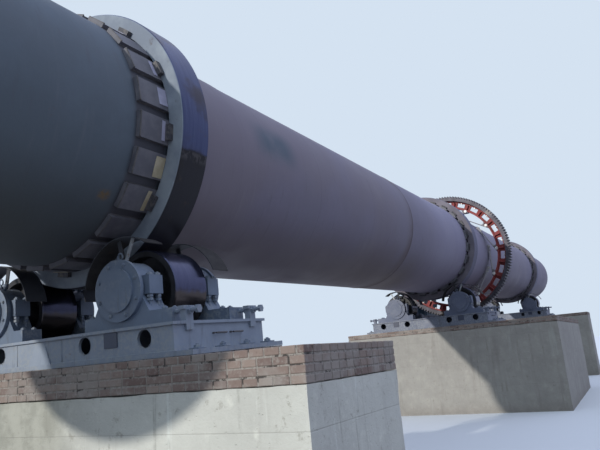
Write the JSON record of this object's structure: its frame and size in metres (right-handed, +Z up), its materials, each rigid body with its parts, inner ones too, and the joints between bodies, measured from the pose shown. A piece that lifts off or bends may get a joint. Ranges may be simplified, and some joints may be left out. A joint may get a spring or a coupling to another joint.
{
  "type": "rotary kiln",
  "caption": "Inclined rotary kiln shell on riding rings and roller stations over masonry piers, with a girth gear, pinion drive and open discharge end.",
  "frame": {"origin": "on the ground, on the underside of the first pier, straight below the kiln's axis at the middle of the first riding ring", "axes": "+X level, along the kiln towards the higher feed end; +Y across the kiln, towards the drive side; +Z up"},
  "size_m": [37.4104, 5.55, 6.5396],
  "materials": {
    "shell_paint": "weathered matt grey paint",
    "ring_paint": "grey-green primer on the sides, dark worn running face",
    "pad_steel": "grey primer with bare and rusty places",
    "roller_steel": "polished dark blued steel",
    "bed_paint": "blue-grey machinery paint, dusty",
    "housing_paint": "blue-grey machinery paint",
    "guard_paint": "dark grey paint",
    "gear_steel": "machined dark steel with grease",
    "gear_red": "rust-red primer",
    "drive_paint": "blue machinery paint",
    "guard_yellow": "yellow paint",
    "concrete": "cast concrete with board marks",
    "brick": "rough red brick with mortar joints"
  },
  "bodies": {
    "foundation": {"pier_1": "concrete", "pier_2": "concrete", "pier_3": "concrete", "brick_course_1": "brick", "brick_course_2": "brick", "brick_course_3": "brick", "bed_1": "bed_paint", "bed_2": "bed_paint", "bed_3": "bed_paint", "bearings_1": "housing_paint", "bearings_2": "housing_paint", "bearings_3": "housing_paint", "roller_guards_1": "guard_paint", "roller_guards_2": "guard_paint", "roller_guards_3": "guard_paint", "drive_base": "bed_paint", "pinion_bearings": "housing_paint", "reducer": "drive_paint", "motor": "drive_paint", "coupling_guard": "guard_yellow"},
    "kiln": {"shell_course_1": "shell_paint", "shell_course_2": "shell_paint", "shell_course_3": "shell_paint", "shell_course_4": "shell_paint", "shell_course_5": "shell_paint", "feed_end_cone": "shell_paint", "discharge_nose_ring": "shell_paint", "tyre_1": "ring_paint", "tyre_2": "ring_paint", "tyre_3": "ring_paint", "tyre_pads_1": "pad_steel", "tyre_pads_2": "pad_steel", "tyre_pads_3": "pad_steel", "girth_gear_rim": "gear_steel", "girth_gear_web": "gear_red", "gear_spring_plates": "pad_steel"},
    "roller_1_near": {"roller_1_near": "roller_steel"},
    "roller_1_far": {"roller_1_far": "roller_steel"},
    "roller_2_near": {"roller_2_near": "roller_steel"},
    "roller_2_far": {"roller_2_far": "roller_steel"},
    "roller_3_near": {"roller_3_near": "roller_steel"},
    "roller_3_far": {"roller_3_far": "roller_steel"},
    "pinion": {"pinion": "gear_steel", "pinion_shaft": "roller_steel", "drive_coupling": "gear_steel"}
  },
  "joints": [
    {"name": "kiln_spin", "type": "hinge", "parent": "foundation", "child": "kiln", "pos_m": [0, 0, 4.06], "axis": [0.9994, 0, 0.035], "continuous": true},
    {"name": "roller_1_near_spin", "type": "hinge", "parent": "foundation", "child": "roller_1_near", "pos_m": [0.05682, -0.90044, 2.43656], "axis": [0.9994, 0, 0.035], "continuous": true},
    {"name": "roller_1_far_spin", "type": "hinge", "parent": "foundation", "child": "roller_1_far", "pos_m": [0.05682, 0.90044, 2.43656], "axis": [0.9994, 0, 0.035], "continuous": true},
    {"name": "roller_2_near_spin", "type": "hinge", "parent": "foundation", "child": "roller_2_near", "pos_m": [12.08945, -0.90044, 2.85771], "axis": [0.9994, 0, 0.035], "continuous": true},
    {"name": "roller_2_far_spin", "type": "hinge", "parent": "foundation", "child": "roller_2_far", "pos_m": [12.08945, 0.90044, 2.85771], "axis": [0.9994, 0, 0.035], "continuous": true},
    {"name": "roller_3_near_spin", "type": "hinge", "parent": "foundation", "child": "roller_3_near", "pos_m": [24.83165, -0.90044, 3.30368], "axis": [0.9994, 0, 0.035], "continuous": true},
    {"name": "roller_3_far_spin", "type": "hinge", "parent": "foundation", "child": "roller_3_far", "pos_m": [24.83165, 0.90044, 3.30368], "axis": [0.9994, 0, 0.035], "continuous": true},
    {"name": "pinion_spin", "type": "hinge", "parent": "foundation", "child": "pinion", "pos_m": [14.78044, 1.6853, 3.16232], "axis": [0.9994, 0, 0.035], "continuous": true}
  ],
  "couplings": [
    {"joint": "roller_1_near_spin", "follows": "kiln_spin", "ratio": -3.8234},
    {"joint": "roller_1_far_spin", "follows": "kiln_spin", "ratio": -3.8234},
    {"joint": "roller_2_near_spin", "follows": "kiln_spin", "ratio": -3.8234},
    {"joint": "roller_2_far_spin", "follows": "kiln_spin", "ratio": -3.8234},
    {"joint": "roller_3_near_spin", "follows": "kiln_spin", "ratio": -3.8234},
    {"joint": "roller_3_far_spin", "follows": "kiln_spin", "ratio": -3.8234},
    {"joint": "pinion_spin", "follows": "kiln_spin", "ratio": -7.2632}
  ]
}
